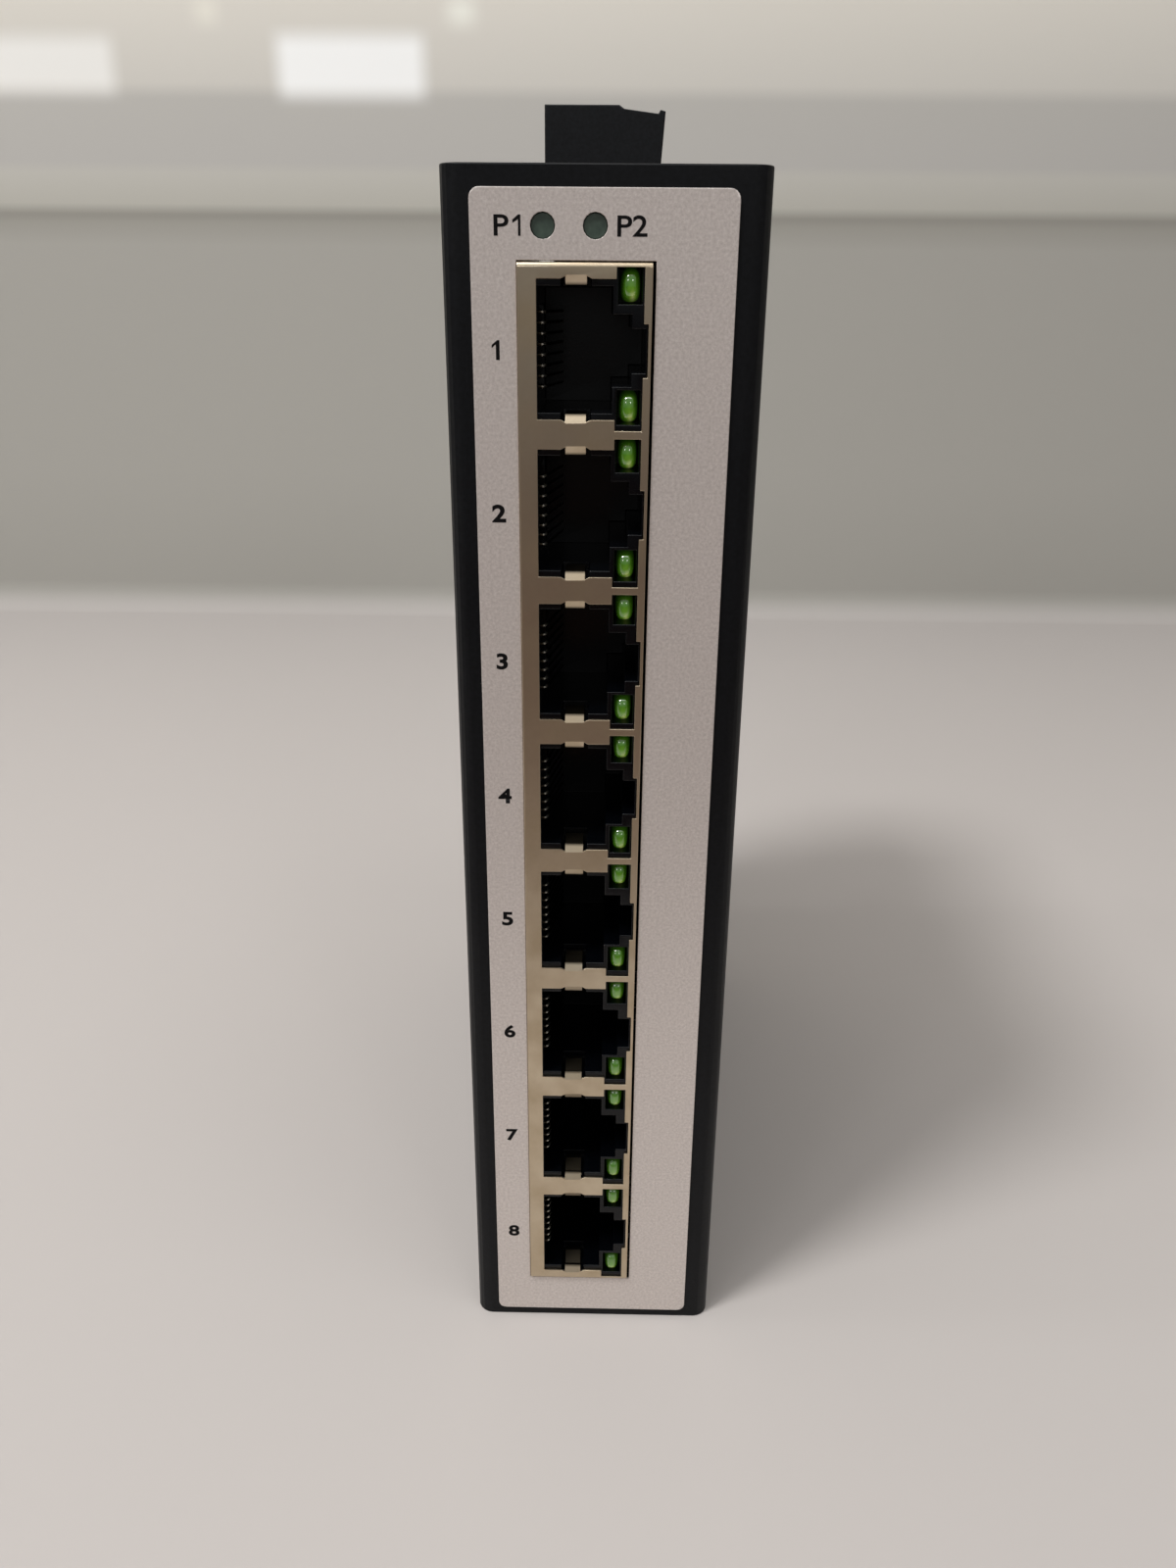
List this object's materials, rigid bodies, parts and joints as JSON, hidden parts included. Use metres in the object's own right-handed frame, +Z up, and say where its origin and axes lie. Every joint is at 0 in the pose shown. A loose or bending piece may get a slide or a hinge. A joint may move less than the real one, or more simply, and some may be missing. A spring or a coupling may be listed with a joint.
{
  "type": "din rail ethernet switch",
  "caption": "Slim rail-mounted network switch in a folded black case, with a column of shielded jacks, paired lamps, a pluggable power terminal and a sprung rail latch.",
  "frame": {"origin": "centre of the case's underside, on the floor plate", "axes": "+Z up; the ports face -Y, the rail bracket +Y, and +X is to the right seen from the ports"},
  "size_m": [0.032, 0.1118, 0.1546],
  "materials": {
    "case_coat": "satin black powder coat",
    "label_film": "matte silver-grey printed film",
    "black_screw": "black oxide",
    "nickel_screw": "nickel plated",
    "nickel_shield": "nickel plated sheet",
    "black_nylon": "moulded",
    "plug_nylon": "moulded",
    "board_laminate": "solder mask",
    "chip_epoxy": "moulded epoxy",
    "black_aluminium": "black anodised",
    "crystal_can": "drawn can",
    "ferrite": "pressed ferrite",
    "capacitor_can": "drawn can",
    "tinned_pin": "tin plated",
    "gold_contact": "gold plated",
    "zinc_steel": "zinc plated",
    "spring_steel": "drawn wire",
    "green_lens": "diffused green epoxy",
    "dull_lens": "tinted epoxy, unlit"
  },
  "bodies": {
    "switch": {"board_screws": "nickel_screw", "board_standoffs": "nickel_screw", "bracket_screws": "black_screw", "chip_heatsink": "black_aluminium", "crystal": "crystal_can", "front_label": "label_film", "front_shell": "case_coat", "ground_screw": "nickel_screw", "ground_washer": "nickel_screw", "header_pins": "tinned_pin", "input_capacitor": "capacitor_can", "jack_contacts_1": "gold_contact", "jack_contacts_2": "gold_contact", "jack_contacts_3": "gold_contact", "jack_contacts_4": "gold_contact", "jack_contacts_5": "gold_contact", "jack_contacts_6": "gold_contact", "jack_contacts_7": "gold_contact", "jack_contacts_8": "gold_contact", "jack_housing_1": "black_nylon", "jack_housing_2": "black_nylon", "jack_housing_3": "black_nylon", "jack_housing_4": "black_nylon", "jack_housing_5": "black_nylon", "jack_housing_6": "black_nylon", "jack_housing_7": "black_nylon", "jack_housing_8": "black_nylon", "jack_shield": "nickel_shield", "lamp_block": "black_nylon", "latch_rivets": "zinc_steel", "latch_spring": "spring_steel", "magnetics_1": "chip_epoxy", "magnetics_2": "chip_epoxy", "magnetics_3": "chip_epoxy", "magnetics_4": "chip_epoxy", "main_board": "board_laminate", "output_capacitor": "capacitor_can", "port_lamps_1": "green_lens", "port_lamps_2": "green_lens", "port_lamps_3": "green_lens", "port_lamps_4": "green_lens", "port_lamps_5": "green_lens", "port_lamps_6": "green_lens", "port_lamps_7": "green_lens", "port_lamps_8": "green_lens", "power_inductor": "ferrite", "power_lamp_1": "dull_lens", "power_lamp_2": "dull_lens", "rail_bracket": "zinc_steel", "rear_chassis": "case_coat", "regulator": "chip_epoxy", "side_screws": "black_screw", "switch_chip": "chip_epoxy", "terminal_header": "plug_nylon"},
    "power_plug": {"plug_body": "plug_nylon", "wire_clamps": "tinned_pin", "plug_screws": "tinned_pin", "plug_contacts": "tinned_pin"},
    "rail_latch": {"rail_latch": "black_nylon"}
  },
  "joints": [
    {"name": "plug_pull", "type": "slide", "parent": "switch", "child": "power_plug", "axis": [0, 0, 1], "range_m": [0, 0.012]},
    {"name": "latch_slide", "type": "slide", "parent": "switch", "child": "rail_latch", "axis": [0, 0, -1], "range_m": [0, 0.004], "stiffness_N_per_m": 1000, "springref_m": -0.003, "deforming": ["latch_spring"]}
  ]
}
